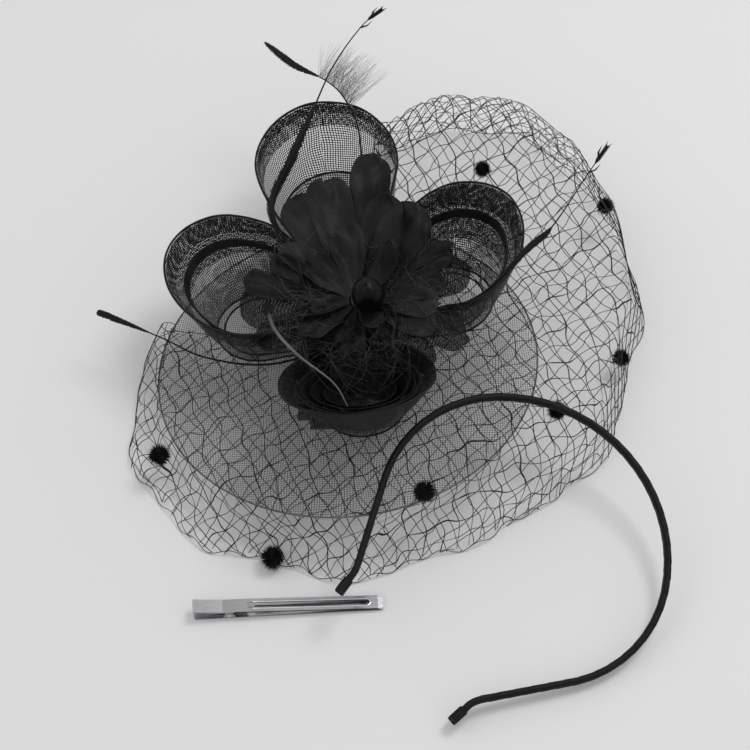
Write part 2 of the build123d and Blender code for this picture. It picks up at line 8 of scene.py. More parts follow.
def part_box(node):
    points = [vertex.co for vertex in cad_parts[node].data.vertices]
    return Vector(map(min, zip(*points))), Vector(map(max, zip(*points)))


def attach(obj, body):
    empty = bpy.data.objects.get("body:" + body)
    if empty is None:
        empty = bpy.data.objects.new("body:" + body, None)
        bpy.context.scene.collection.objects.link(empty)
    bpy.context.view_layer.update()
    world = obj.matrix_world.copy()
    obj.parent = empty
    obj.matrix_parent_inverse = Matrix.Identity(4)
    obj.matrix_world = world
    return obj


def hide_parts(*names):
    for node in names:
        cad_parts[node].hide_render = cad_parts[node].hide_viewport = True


# Fascinator headpiece with its loose hair clip and headband on a pale table.
# Lengths are in millimetres until a mesh is made. Heights over the saucer are in its own leaning frame.
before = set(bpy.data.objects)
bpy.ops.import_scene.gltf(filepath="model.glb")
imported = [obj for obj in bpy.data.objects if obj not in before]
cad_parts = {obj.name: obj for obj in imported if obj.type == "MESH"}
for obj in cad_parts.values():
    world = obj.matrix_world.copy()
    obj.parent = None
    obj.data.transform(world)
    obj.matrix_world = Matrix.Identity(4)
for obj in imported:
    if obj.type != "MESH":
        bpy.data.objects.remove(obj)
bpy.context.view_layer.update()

MM = 0.001
WHOLE = 2 * math.pi

# ---- places and sizes shared with the solids ----
BRIM_CENTRE = Vector((-12.3, 6.2, 15.0))
BRIM_LEAN = (-5.6, -5.1)
BRIM_RADIUS = 80.0
CROWN_RADIUS = 40.0
CROWN_RISE = 3.0
HUB = Vector((8.0, 3.0, 0.0))
FLOWER_HEIGHT = 31.0
FLOWER_LEAN = 14.0
RIBBON_FOOT = 6.6
RIBBON_EDGE_RISE = 19.0
RIBBON_PUFF = 1.2
NEST_INSET = 3.4
NEST_DROP = 6.5
# heading, lower reach and radius, upper reach and radius, rise of the upper edge in degrees
LOOPS = {
    "back": (100.0, 60.0, 20.0, 81.0, 31.0, 16.0),
    "left": (160.5, 46.0, 20.0, 55.5, 31.0, 18.5),
    "right": (34.0, 42.0, 20.0, 52.0, 30.0, 20.0),
    "front": (270.0, 30.0, 18.0, 45.0, 31.0, 22.0),
}
TAIL_LOW = (14.0, 4.0)
TAIL_HIGH = (17.0, 8.0)

seat = (
    Matrix.Translation(BRIM_CENTRE)
    @ Matrix.Rotation(math.radians(BRIM_LEAN[0]), 4, "X")
    @ Matrix.Rotation(math.radians(BRIM_LEAN[1]), 4, "Y")
)


def wobble(point, size, seed=0.0):
    """Smooth noise from -1 to 1 at a point, with bumps of about the given size."""
    return noise.noise(Vector(point) / size + Vector((seed, seed * 1.7, seed * 0.6)))


def polar(reach, angle, z=0.0):
    """The point at a reach and an angle in radians round the z axis."""
    return Vector((reach * math.cos(angle), reach * math.sin(angle), z))


def ahead_at(path, i):
    """Unit direction of a path at its point i."""
    return (path[min(i + 1, len(path) - 1)] - path[max(i - 1, 0)]).normalized()


def any_way(chance):
    """A random vector, drawn as three values."""
    return Vector((chance.gauss(0, 1), chance.gauss(0, 1), chance.gauss(0, 1)))


def run_lengths(points):
    """Length along a line up to each of its points."""
    lengths = [0.0]
    for a, b in zip(points, points[1:]):
        lengths.append(lengths[-1] + (b - a).length)
    return lengths


def placed(name, data):
    """A new object in the scene."""
    obj = bpy.data.objects.new(name, data)
    bpy.context.scene.collection.objects.link(obj)
    return obj


# ================= mesh building =================


class Shape:
    """Points, faces and UVs in millimetres, gathered before the mesh is made."""

    def __init__(self):
        self.points = []
        self.faces = []
        self.uvs = []

    def grid(self, rows, uvs=None, closed=False):
        """A sheet of quads through rows of points; a closed one joins each row's end to its start."""
        base = len(self.points)
        wide = len(rows[0])
        for r, row in enumerate(rows):
            for c, point in enumerate(row):
                self.points.append(Vector(point))
                self.uvs.append(uvs[r][c] if uvs else (c, r))
        last = wide if closed else wide - 1
        for r in range(len(rows) - 1):
            for c in range(last):
                a = base + r * wide + c
                b = base + r * wide + (c + 1) % wide
                self.faces.append((a, b, b + wide, a + wide))

    def tube(self, path, radii, sides):
        """A closed tube along a path; radii is one radius or one for each point."""
        count = len(path)
        if not hasattr(radii, "__len__"):
            radii = [radii] * count
        base = len(self.points)
        side = None
        for i, point in enumerate(path):
            ahead = path[min(i + 1, count - 1)] - path[max(i - 1, 0)]
            ahead = ahead.normalized() if ahead.length > 1e-9 else Vector((0, 0, 1))
            if side is None:
                guide = Vector((0, 0, 1)) if abs(ahead.z) < 0.9 else Vector((1, 0, 0))
                side = guide.cross(ahead).normalized()
            else:
                side = (side - ahead * side.dot(ahead)).normalized()
            other = ahead.cross(side)
            for k in range(sides):
                angle = WHOLE * k / sides
                self.points.append(point + side * math.cos(angle) * radii[i] + other * math.sin(angle) * radii[i])
                self.uvs.append((k / sides, i))
        for i in range(count - 1):
            for k in range(sides):
                a = base + i * sides + k
                b = base + i * sides + (k + 1) % sides
                self.faces.append((a, b, b + sides, a + sides))
        self.faces.append(tuple(base + k for k in reversed(range(sides))))
        self.faces.append(tuple(base + (count - 1) * sides + k for k in range(sides)))

    def spike(self, root, tip, radius):
        """A thin three-sided fibre."""
        ahead = (tip - root).normalized()
        side = ahead.orthogonal().normalized()
        other = ahead.cross(side)
        base = len(self.points)
        for k in range(3):
            angle = WHOLE * k / 3
            self.points.append(root + (side * math.cos(angle) + other * math.sin(angle)) * radius)
            self.uvs.append((k / 3, 0))
        self.points.append(tip)
        self.uvs.append((0, 1))
        for k in range(3):
            self.faces.append((base + k, base + (k + 1) % 3, base + 3))
        self.faces.append((base + 2, base + 1, base))

    def knot(self, centre, radius):
        """A small eight-sided lump."""
        base = len(self.points)
        for step in ((1, 0, 0), (0, 1, 0), (-1, 0, 0), (0, -1, 0), (0, 0, 1), (0, 0, -1)):
            self.points.append(centre + Vector(step) * radius)
            self.uvs.append((0, 0))
        for k in range(4):
            self.faces.append((base + k, base + (k + 1) % 4, base + 4))
            self.faces.append((base + (k + 1) % 4, base + k, base + 5))

    def make(self, name, material, body, replaces=(), place=None, smooth=True, subdivide=0):
        """The finished object, in metres, riding on its body."""
        mesh = bpy.data.meshes.new(name)
        matrix = place or Matrix.Identity(4)
        mesh.from_pydata([(matrix @ p) * MM for p in self.points], [], self.faces)
        layer = mesh.uv_layers.new(name="UVMap")
        for loop in mesh.loops:
            layer.data[loop.index].uv = self.uvs[loop.vertex_index]
        mesh.update()
        if smooth:
            mesh.shade_smooth()
        obj = placed(name, mesh)
        mesh.materials.append(material)
        if subdivide:
            step = obj.modifiers.new("smooth", "SUBSURF")
            step.levels = step.render_levels = subdivide
        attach(obj, body)
        if replaces:
            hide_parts(*replaces)
        return obj


# ================= materials =================


def start_material(name):
    """An empty node material with its shader and output."""
    material = bpy.data.materials.new(name)
    material.use_nodes = True
    tree = material.node_tree
    tree.nodes.clear()
    out = tree.nodes.new("ShaderNodeOutputMaterial")
    shader = tree.nodes.new("ShaderNodeBsdfPrincipled")
    tree.links.new(shader.outputs[0], out.inputs[0])
    return material, tree, shader


def noise_of(tree, place, scale, detail=2.0):
    """The value of a noise over the given coordinates."""
    node = tree.nodes.new("ShaderNodeTexNoise")
    node.inputs["Scale"].default_value = scale
    node.inputs["Detail"].default_value = detail
    tree.links.new(place, node.inputs["Vector"])
    return node.outputs["Fac"]


def object_place(tree):
    """The object's own coordinates."""
    return tree.nodes.new("ShaderNodeTexCoord").outputs["Object"]


def noisy_colour(tree, shader, dark, light, scale):
    """Base colour that drifts between two values with a noise."""
    ramp = tree.nodes.new("ShaderNodeValToRGB")
    for end, position, colour in zip(ramp.color_ramp.elements, (0.3, 0.7), (dark, light)):
        end.position = position
        end.color = (*colour, 1)
    tree.links.new(noise_of(tree, object_place(tree), scale, 4.0), ramp.inputs["Fac"])
    tree.links.new(ramp.outputs["Color"], shader.inputs["Base Color"])


def surface(shader, rough, specular):
    """How rough the shader is and how much it reflects."""
    shader.inputs["Roughness"].default_value = rough
    shader.inputs["Specular IOR Level"].default_value = specular


def bump(tree, shader, height, strength, distance):
    """Drives the shader's normal with a height."""
    node = tree.nodes.new("ShaderNodeBump")
    node.inputs["Strength"].default_value = strength
    node.inputs["Distance"].default_value = distance
    tree.links.new(height, node.inputs["Height"])
    tree.links.new(node.outputs["Normal"], shader.inputs["Normal"])


def plain_fabric(name, dark, light, rough, grain, sheen=0.0, cloud=60.0, specular=0.4):
    """Felt, satin, feather or thread: drifting colour and a fine grain."""
    material, tree, shader = start_material(name)
    noisy_colour(tree, shader, dark, light, cloud)
    bump(tree, shader, noise_of(tree, object_place(tree), grain, 3.0), 0.5, 0.0004)
    surface(shader, rough, specular)
    shader.inputs["Sheen Weight"].default_value = sheen
    shader.inputs["Sheen Roughness"].default_value = 0.4
    return material


def number(tree, operation, a, b=0.0):
    """One Math node; a and b are sockets or numbers."""
    node = tree.nodes.new("ShaderNodeMath")
    node.operation = operation
    for socket, value in zip(node.inputs, (a, b)):
        if hasattr(value, "links"):
            tree.links.new(value, socket)
        else:
            socket.default_value = value
    return node.outputs[0]


def flat_place(tree):
    """The mesh's UV, and its two values apart."""
    uv = tree.nodes.new("ShaderNodeUVMap")
    uv.uv_map = "UVMap"
    axes = tree.nodes.new("ShaderNodeSeparateXYZ")
    tree.links.new(uv.outputs["UV"], axes.inputs[0])
    return uv.outputs["UV"], axes.outputs["X"], axes.outputs["Y"]


def off_thread(tree, across, pitch):
    """Distance from the middle of the nearest of a row of threads, in pitches."""
    phase = number(tree, "FRACT", number(tree, "DIVIDE", across, pitch))
    return number(tree, "ABSOLUTE", number(tree, "SUBTRACT", phase, 0.5))


# noise scale of the threads' slow wandering, and how far a weave and a net wander, in millimetres
STRAY = 0.07
WEAVE_DRIFT = 3.25
NET_DRIFT = 8.0


def woven(name, dark, light, pitch, cover, specular=0.3):
    """Open plain weave: threads along U and V, in millimetres, with clear gaps between them."""
    material, tree, shader = start_material(name)
    noisy_colour(tree, shader, dark, light, 300.0)
    place, along, up = flat_place(tree)
    shift = number(tree, "MULTIPLY", noise_of(tree, place, STRAY, 0.0), WEAVE_DRIFT)
    lines = [off_thread(tree, number(tree, "ADD", axis, shift), pitch) for axis in (along, up)]
    width = number(tree, "MULTIPLY", noise_of(tree, place, 1.7), cover * 0.5)
    width = number(tree, "ADD", width, cover * 0.25)
    masks = [number(tree, "LESS_THAN", away, width) for away in lines]
    tree.links.new(number(tree, "MAXIMUM", *masks), shader.inputs["Alpha"])
    bump(tree, shader, number(tree, "MINIMUM", *lines), 0.4, -0.0003)
    surface(shader, 0.5, specular)
    return material


def netting(name, dark, light, gap, width, turn, lean):
    """Diamond net on a flat cut: two slanting thread families with small wanderings, clear between."""
    material, tree, shader = start_material(name)
    noisy_colour(tree, shader, dark, light, 300.0)
    place, along, up = flat_place(tree)
    masks = []
    for k, angle in enumerate((math.radians(turn + lean), math.radians(turn - lean))):
        across = number(
            tree,
            "ADD",
            number(tree, "MULTIPLY", along, -math.sin(angle)),
            number(tree, "MULTIPLY", up, math.cos(angle)),
        )
        stray = number(tree, "MULTIPLY", noise_of(tree, place, STRAY + 0.02 * k, 0.0), NET_DRIFT)
        away = off_thread(tree, number(tree, "ADD", across, stray), gap)
        masks.append(number(tree, "LESS_THAN", away, width / gap / 2))
    tree.links.new(number(tree, "MAXIMUM", *masks), shader.inputs["Alpha"])
    surface(shader, 0.7, 0.2)
    return material


def metal(name, colour, rough, scratch):
    """Bright plate with fine rubbing marks."""
    material, tree, shader = start_material(name)
    noisy_colour(tree, shader, tuple(0.85 * c for c in colour), colour, 90.0)
    stretch = tree.nodes.new("ShaderNodeMapping")
    stretch.inputs["Scale"].default_value = (60, 1500, 1500)
    tree.links.new(object_place(tree), stretch.inputs["Vector"])
    fine = noise_of(tree, stretch.outputs["Vector"], 1.0)
    bump(tree, shader, fine, scratch, 0.0001)
    spread = tree.nodes.new("ShaderNodeMapRange")
    spread.inputs["To Min"].default_value = rough * 0.7
    spread.inputs["To Max"].default_value = rough * 1.4
    tree.links.new(fine, spread.inputs["Value"])
    tree.links.new(spread.outputs["Result"], shader.inputs["Roughness"])
    shader.inputs["Metallic"].default_value = 1.0
    return material


GREY_THREAD = ((0.10, 0.10, 0.104), (0.17, 0.17, 0.175))
BLACK_THREAD = ((0.005, 0.005, 0.006), (0.018, 0.018, 0.02))
sinamay = woven("sinamay_grey", *GREY_THREAD, 1.0, 0.225)
sinamay_black = woven("sinamay_black", *BLACK_THREAD, 1.0, 0.36)
sinamay_fine = woven("sinamay_fine", (0.02, 0.02, 0.022), (0.05, 0.05, 0.054), 1.0, 0.2)
sinamay_dense = woven("sinamay_doubled", *BLACK_THREAD, 0.83, 0.42, specular=0.15)
sinamay_edge = plain_fabric("sinamay_edge", (0.004, 0.004, 0.005), (0.016, 0.016, 0.018), 0.6, 2500.0, specular=0.15)
hem_edge = plain_fabric("brim_edge_fabric", (0.07, 0.07, 0.074), (0.15, 0.15, 0.155), 0.6, 2500.0)
felt = plain_fabric("felt_black", (0.012, 0.012, 0.014), (0.03, 0.03, 0.032), 0.9, 1800.0, 0.3)
ribbon_black = plain_fabric("grosgrain_black", (0.012, 0.012, 0.014), (0.03, 0.03, 0.034), 0.55, 1500.0)
NET_THREAD = ((0.012, 0.012, 0.013), (0.03, 0.03, 0.032))
thread = plain_fabric("net_thread", *NET_THREAD, 0.7, 3000.0, specular=0.2)
net_cloth = netting("net_cloth", *NET_THREAD, 7.6, 0.42, 66.0, 41.0)
tulle = woven("tulle_black", (0.003, 0.003, 0.004), (0.014, 0.014, 0.016), 0.7, 0.62, specular=0.1)
satin = plain_fabric("petal_satin", (0.003, 0.003, 0.004), (0.02, 0.02, 0.022), 0.5, 900.0, 0.02, 45.0, 0.13)
gloss = plain_fabric("bud_gloss", (0.001, 0.001, 0.002), (0.003, 0.003, 0.004), 0.36, 300.0, cloud=80.0, specular=0.14)
plume = plain_fabric("feather_black", (0.003, 0.003, 0.004), (0.01, 0.01, 0.011), 0.6, 2500.0, 0.02, specular=0.2)
plume_grey = plain_fabric("feather_grey", (0.07, 0.07, 0.075), (0.14, 0.14, 0.15), 0.5, 2500.0, 0.1)
down = plain_fabric("feather_down_grey", (0.25, 0.25, 0.26), (0.42, 0.42, 0.43), 0.7, 2500.0)
tuft = plain_fabric("chenille_black", (0.003, 0.003, 0.004), (0.01, 0.01, 0.011), 0.9, 3000.0, 0.05, specular=0.1)
tinsel = plain_fabric("tinsel_thread", (0.003, 0.003, 0.004), (0.07, 0.07, 0.075), 0.4, 4000.0, cloud=500.0)
band_satin = plain_fabric(
    "band_satin", (0.002, 0.002, 0.003), (0.006, 0.006, 0.007), 0.48, 1200.0, cloud=200.0, specular=0.16
)
bright = metal("bright_plate", (0.46, 0.46, 0.48), 0.2, 0.35)
# A lighter copy of the clip's plate for the ridge round the slot: a painted highlight, with a smoother finish.
ridge_highlight = metal("painted_highlight_plate", (0.9, 0.9, 0.92), 0.1, 0.1)
# A near-black copy of the clip's plate: painted shade along the jaw's edges and in its slot.
shade_metal = metal("painted_shade_plate", (0.06, 0.06, 0.065), 0.35, 0.2)
steel = metal("spring_wire", (0.6, 0.6, 0.62), 0.3, 0.2)

# ================= saucer =================


def brim_height(reach):
    """Height of the saucer's upper face over its own plane."""
    if reach < CROWN_RADIUS:
        return CROWN_RISE + 1.0
    share = (reach - CROWN_RADIUS) / (BRIM_RADIUS - 2 - CROWN_RADIUS)
    return 1.0 + CROWN_RISE * (1 - min(1.0, share) ** 2)


def saucer():
    """The see-through woven disc with its turned edge."""
    rings, around = 40, 128
    shape = Shape()
    rows = []
    uvs = []
    for r in range(rings + 1):
        reach = 0.5 + (BRIM_RADIUS - 1.5) * r / rings
        row = []
        for k in range(around + 1):
            angle = WHOLE * k / around
            x = reach * math.cos(angle)
            y = reach * math.sin(angle)
            ripple = 0.35 * wobble((x, y, 0), 22.0) * reach / BRIM_RADIUS
            row.append((x, y, brim_height(reach) - 0.5 + ripple))
        rows.append(row)
        uvs.append([(p[0], p[1]) for p in row])
    shape.grid(rows, uvs)
    disc = shape.make("saucer_disc", sinamay, "headpiece", ("brim_disc",), seat)
    edge = Shape()
    path = [polar(BRIM_RADIUS - 0.6, WHOLE * k / 160, 0.5) for k in range(161)]
    edge.tube(path, [0.38 + 0.06 * wobble(p, 3.0) for p in path], 8)
    edge.make("saucer_edge", hem_edge, "headpiece", ("brim_hem",), seat)


saucer()

# ================= ribbon loops =================


def teardrop(tail, end, count):
    """Points round a teardrop of a small tail arc, two straight sides and a round end."""
    (tail_reach, tail_radius), (reach, radius) = tail, end
    lean = math.asin((radius - tail_radius) / (reach - tail_reach))
    quarter = math.pi / 2 + lean
    side = math.sqrt((reach - tail_reach) ** 2 - (radius - tail_radius) ** 2)

    def on_end(angle):
        return reach + radius * math.cos(angle), radius * math.sin(angle)

    def on_tail(angle):
        return tail_reach + tail_radius * math.cos(angle), tail_radius * math.sin(angle)

    def between(start, stop, share):
        return tuple(a + (b - a) * share for a, b in zip(start, stop))

    # each piece's length, and the place a distance along it
    pieces = (
        (quarter * radius, lambda far: on_end(far / radius)),
        (side, lambda far: between(on_end(quarter), on_tail(quarter), far / side)),
        (2 * (math.pi - quarter) * tail_radius, lambda far: on_tail(quarter + far / tail_radius)),
        (side, lambda far: between(on_tail(-quarter), on_end(-quarter), far / side)),
        (quarter * radius, lambda far: on_end(-quarter + far / radius)),
    )
    total = sum(length for length, _ in pieces)
    points = []
    for i in range(count):
        far = total * i / count
        which = 0
        while which < len(pieces) - 1 and far >= pieces[which][0]:
            far -= pieces[which][0]
            which += 1
        points.append(pieces[which][1](far))
    return points


def ribbon_rows(shape, inset, drop, count, levels, low, high):
    """Rings of a flared ribbon loop from its foot to its rim, in the saucer's frame."""
    heading, reach_low, radius_low, reach_high, radius_high, rise = shape
    slope = math.tan(math.radians(rise))
    end_share = drop / (RIBBON_EDGE_RISE + reach_high * math.sin(math.radians(rise)) - RIBBON_FOOT)
    reach_top = reach_high - end_share * (reach_high - reach_low)
    radius_top = radius_high - end_share * (radius_high - radius_low) - inset
    foot = teardrop((TAIL_LOW[0], TAIL_LOW[1] - inset * 0.2), (reach_low, radius_low - inset), count)
    rim = teardrop((TAIL_HIGH[0], TAIL_HIGH[1] - inset * 0.4), (reach_top, radius_top), count)
    turn = math.radians(heading)
    flat = math.cos(math.radians(rise))
    rows = []
    for level in range(levels + 1):
        up = low + (high - low) * level / levels
        swell = 1 + RIBBON_PUFF * math.sin(math.pi * up) / max(radius_top, 1)
        row = []
        for (x0, y0), (x1, y1) in zip(foot, rim):
            x1 *= flat
            top = RIBBON_EDGE_RISE - drop + x1 * slope
            x = x0 + (x1 - x0) * up
            y = (y0 + (y1 - y0) * up) * swell
            z = RIBBON_FOOT + (top - RIBBON_FOOT) * up
            place = Vector((
                HUB.x + x * math.cos(turn) - y * math.sin(turn),
                HUB.y + x * math.sin(turn) + y * math.cos(turn),
                z,
            ))
            place += Vector((1.0, 1.0, 0.6)) * wobble(place, 22.0, heading) * up
            row.append(place)
        rows.append(row)
    return rows


def closed_rows(*facts):
    """The same rings, each ending on its first point."""
    return [row + row[:1] for row in ribbon_rows(*facts)]


def measured_uvs(rows):
    """U along each ring and V up the ribbon, both in millimetres."""
    along = run_lengths(rows[len(rows) // 2])
    uvs = []
    height = 0.0
    for r, row in enumerate(rows):
        if r:
            height += (row[0] - rows[r - 1][0]).length
        uvs.append([(u, height) for u in along])
    return uvs, along[-1], height


# where the doubled band starts up the outer loop's wall, and where the inner loop's wall ends
DOUBLED = {"back": (0.80, 0.55), "left": (0.52, 1.0), "right": (0.35, 0.97), "front": (0.12, 1.0)}
BINDING = 3.6
RIBBON_INSET = 0.45
# inset and drop of the ribbon's turns rolled up inside the front loop
ROLLED_TURNS = ((5.6, 7.5), (8.0, 9.0), (11.5, 12.0))


def ribbon_loop(side, shape, which, inset, drop):
    """One loop of sinamay: an open weave wall, a doubled or bound top and rolled edges."""
    count, levels = 120, 14
    band_low, inner_high = DOUBLED[side]
    high = 1.0 if which == "outer" else inner_high
    wall = Shape()
    rows = closed_rows(shape, inset, drop, count, levels, 0.0, high)
    uvs, length, height = measured_uvs(rows)
    wall.grid(rows, uvs)
    name = f"ribbon_{side}_{which}"
    finish = sinamay_black if which == "outer" else sinamay_fine
    obj = wall.make(name, finish, "headpiece", (f"loop_{side}_{which}",), seat)
    band = Shape()
    if which == "outer":
        for k, (shrink, low) in enumerate(((0.5, band_low), (0.9, band_low + 0.6 * (1 - band_low)))):
            inner = closed_rows(shape, inset + shrink, drop, count, 6, low, 0.995)
            skew = [
                [(u * 1.06 + v * 0.3 + 7 * k, v - u * 0.2) for u, v in line]
                for line in measured_uvs(inner)[0]
            ]
            band.grid(inner, skew)
        band.make(name + "_doubled", sinamay_dense, "headpiece", (), seat)
    elif side != "back":
        low = high - BINDING / height
        for shrink in (-0.35, 0.35):
            band.grid(closed_rows(shape, inset + shrink, drop, count, 4, low, high))
        band.make(name + "_binding", sinamay_edge, "headpiece", (), seat)
    edges = Shape()
    for up, radius in ((high, 0.5), (0.0, 0.45)):
        ring = ribbon_rows(shape, inset, drop, count, 1, up, up)[0]
        ring = ring + ring[:2]
        edges.tube(ring, [radius * (1 + 0.15 * wobble(p, 4.0)) for p in ring], 6)
    edges.make(name + "_edges", sinamay_edge, "headpiece", (), seat)


for side, shape in LOOPS.items():
    ribbon_loop(side, shape, "outer", RIBBON_INSET, 0.0)
    ribbon_loop(side, shape, "inner", NEST_INSET + RIBBON_INSET, NEST_DROP)


def front_folds():
    """The ribbon's end rolled up inside the front loop, seen as dark nested ridges."""
    folds = Shape()
    ridges = Shape()
    rolled, deepest = 0.0, 0.0
    for inset, drop in ROLLED_TURNS:
        rows = closed_rows(LOOPS["front"], inset, drop, 90, 8, 0.05, 1.0)
        uvs, length, height = measured_uvs(rows)
        rolled, deepest = rolled + length, max(deepest, height)
        folds.grid(rows, uvs)
        ridges.tube(rows[-1] + rows[-1][1:2], 0.22, 5)
    floor = []
    middle = sum(rows[2], Vector()) / len(rows[2])
    for r in range(9):
        row = []
        for point in rows[2]:
            spot = middle.lerp(point, 0.04 + 0.96 * r / 8)
            spot.z += 1.6 * wobble(spot, 4.0)
            row.append(spot)
        floor.append(row)
    folds.grid(floor, [[(p.x, p.y) for p in row] for row in floor])
    obj = folds.make("ribbon_front_folds", tulle, "headpiece", (), seat)
    ridges.make("ribbon_front_ridges", sinamay_edge, "headpiece", (), seat)


front_folds()

# ================= flower =================

flower_seat = (
    seat
    @ Matrix.Translation(Vector((HUB.x, HUB.y, FLOWER_HEIGHT)))
    @ Matrix.Rotation(math.radians(FLOWER_LEAN), 4, "X")
)
# each petal's height on the stem, length, width, heading, rise at the tip and cupping
PETALS = {
    "petals_back": (
        (0.0, 58, 19, 103, 12, 2.0), (0.5, 64, 17, 83, 14, -1.0), (1.0, 46, 21, 56, 13, 1.5),
        (0.3, 57, 15, 119, 8, 1.0), (1.4, 40, 15, 137, 7, 2.0), (1.6, 46, 17, 72, 15, 2.5),
    ),
    "petals_middle": (
        (4.0, 46, 10, 166, 4, 1.0), (4.2, 40, 10, 151, 6, 2.0), (3.4, 44, 13, 28, 7, -1.0),
        (4.0, 36, 12, 8, 6, 2.0), (6.2, 33, 15, 351, 4, 2.0), (7.0, 34, 13, 334, 1, -1.0),
        (6.0, 27, 13, 214, 0, 1.0), (5.4, 24, 11, 262, -4, 1.0),
    ),
    "petals_inner": (
        (6.0, 30, 14, 98, 10, 3.0), (6.4, 26, 12, 140, 8, 2.0), (6.0, 25, 13, 52, 11, -1.0),
        (6.2, 19, 10, 190, 4, 2.0), (6.0, 17, 9, 300, 3, 2.0),
    ),
}
TULLE = (
    (1.0, 48, 17, 178, 1, 2.0), (0.5, 44, 18, 196, -3, 1.0), (0.6, 36, 17, 232, -8, 2.0),
    (0.2, 38, 18, 262, -16, 2.0), (0.4, 38, 18, 288, -14, 1.0), (0.8, 38, 17, 316, -8, 2.0),
    (1.4, 46, 17, 340, -2, 1.0), (1.8, 47, 17, 12, 5, 2.0), (5.0, 20, 13, 240, 0, 3.0),
    (5.0, 21, 13, 315, 0, 3.0), (4.0, 26, 12, 186, 2, 2.0),
)
BUD_AT = (5.0, -3.5, 16.0)
BUD_RADIUS = 7.2
BUD_HALF_HEIGHT = 8.5
# how many threads, middle heading, spread, shortest and longest reach, lowest and highest end
TINSEL = (
    (100, 182, 50, 14, 50, -4, 8),
    (110, 352, 50, 14, 46, -4, 9),
    (150, 268, 60, 10, 40, -20, 4),
    (60, 100, 70, 12, 36, 0, 8),
)


def petal(shape, chance, base, length, width, heading, rise, cup):
    """One cupped petal with a curled lip and a wavy edge."""
    steps, across = 18, 14
    turn = math.radians(heading)
    twist = chance.uniform(-0.5, 0.5)
    lift = chance.uniform(-1.0, 1.0)
    curl = chance.uniform(-0.8, 1.8)
    seed = chance.uniform(0, 50)
    waist = 1 - width / 2 / length
    rows = []
    for i in range(steps + 1):
        u = i / steps
        if u < 0.55:
            s = waist * u / 0.55
            half = width / 2 * (0.28 + 0.72 * math.sin(math.pi / 2 * u / 0.55) ** 1.3)
        else:
            v = math.pi / 2 * (u - 0.55) / 0.45
            s = waist + (1 - waist) * math.sin(v)
            half = width / 2 * max(0.04, math.cos(v) ** 0.85)
        row = []
        for j in range(across + 1):
            t = 2 * j / across - 1
            x = 3.0 + (length - 3.0) * s + 2.4 * wobble((t * 3, s, 0), 1.1, seed) * s
            y = half * t
            height = rise * s**1.7 + lift * s
            height += cup * t * t * math.sin(math.pi * min(1, s)) + twist * y * s
            height -= curl * 2.2 * max(0.0, s - 0.72) ** 2 * 12
            height += 3.4 * wobble((x, y * 1.8, heading), 7.5, seed) * s
            height += 1.2 * wobble((x * 0.6, y, heading), 2.6, seed) * s
            row.append(Vector((
                x * math.cos(turn) - y * math.sin(turn),
                x * math.sin(turn) + y * math.cos(turn),
                base + height,
            )))
        rows.append(row)
    shape.grid(rows, [[(j * 2.0, i * 2.0) for j in range(across + 1)] for i in range(steps + 1)])


def flower():
    """The satin and tulle petals, the bud, the lace and the tinsel threads."""
    chance = random.Random(11)
    for label, petals in PETALS.items():
        shape = Shape()
        for facts in petals:
            petal(shape, chance, *facts)
        obj = shape.make("satin_" + label, satin, "headpiece", (label,), flower_seat, True, 1)
        thick = obj.modifiers.new("cloth", "SOLIDIFY")
        thick.thickness = 0.35 * MM
        thick.offset = 0

    soft = Shape()
    for facts in TULLE:
        petal(soft, chance, *facts)
    obj = soft.make("tulle_petals", tulle, "headpiece", (), flower_seat, True, 1)

    bud = Shape()
    rows = []
    for i in range(25):
        v = i / 24
        tilt = math.pi * (0.04 + 0.94 * v)
        row = []
        for k in range(48):
            angle = WHOLE * k / 48
            fold = (angle * 3 / WHOLE + v * 1.4) % 1.0
            radius = BUD_RADIUS * math.sin(tilt) * (0.86 + 0.14 * fold)
            row.append(Vector((
                BUD_AT[0] + radius * math.cos(angle),
                BUD_AT[1] + radius * math.sin(angle),
                BUD_AT[2] - BUD_HALF_HEIGHT * math.cos(tilt) * (1 + 0.03 * fold),
            )))
        rows.append(row)
    bud.grid(rows, closed=True)
    bud.make("flower_bud_folds", gloss, "headpiece", ("flower_bud",), flower_seat)

    lace = Shape()
    for ruffle in range(60):
        angle = WHOLE * ruffle / 60 + chance.uniform(-0.05, 0.05)
        reach = chance.uniform(19, 27)
        path = []
        for i in range(9):
            s = i / 8
            r = 5.0 + (reach - 5.0) * s
            swing = angle + 0.35 * math.sin(3 * s + ruffle)
            path.append(polar(r, swing, -1.5 + 5.0 * s + math.sin(6 * s + ruffle)))
        lace.tube(path, 0.22, 4)
        if ruffle % 2:
            for spot in path[2:]:
                lace.knot(spot, 0.5)
    for ring in range(7):
        r = 8.0 + 2.9 * ring
        path = []
        for k in range(91):
            angle = WHOLE * k / 90
            wave = 0.9 * math.sin(14 * angle + ring)
            path.append(polar(r + wave, angle, -1.5 + 0.23 * (r - 5) + wave))
        lace.tube(path, 0.2, 4)
    lace.make("lace_threads", thread, "headpiece", ("lace_ruffle",), flower_seat)

    glitter = Shape()
    for count, heading, spread, near, far, low, high in TINSEL:
        for _ in range(count):
            angle = math.radians(heading + chance.gauss(0, spread / 2))
            start, end = chance.uniform(6, 13), chance.uniform(near, far)
            sway, arch = chance.uniform(-1.1, 1.1), chance.uniform(0.0, 7.0)
            fall = chance.uniform(low, high)
            seed = chance.uniform(0, 90)
            path = []
            for i in range(11):
                s = i / 10
                r = start + (end - start) * s
                bend = angle + sway * s * s
                spot = polar(r, bend, 1.5 + arch * math.sin(math.pi * s) + fall * s)
                kink = Vector([wobble(at, 1.7, seed) for at in ((i, 0, 0), (0, i, 0), (0, 0, i))])
                path.append(spot + kink * 5.0 * s)
            glitter.tube(path, chance.uniform(0.06, 0.13), 3)
    glitter.make("tinsel_threads", tinsel, "headpiece", (), flower_seat)


flower()

# ================= feathers =================

CAP_ROOT = 6.8
CAP_SEAT = 23.3
VANE_UP = Vector((0, -0.5, 1))
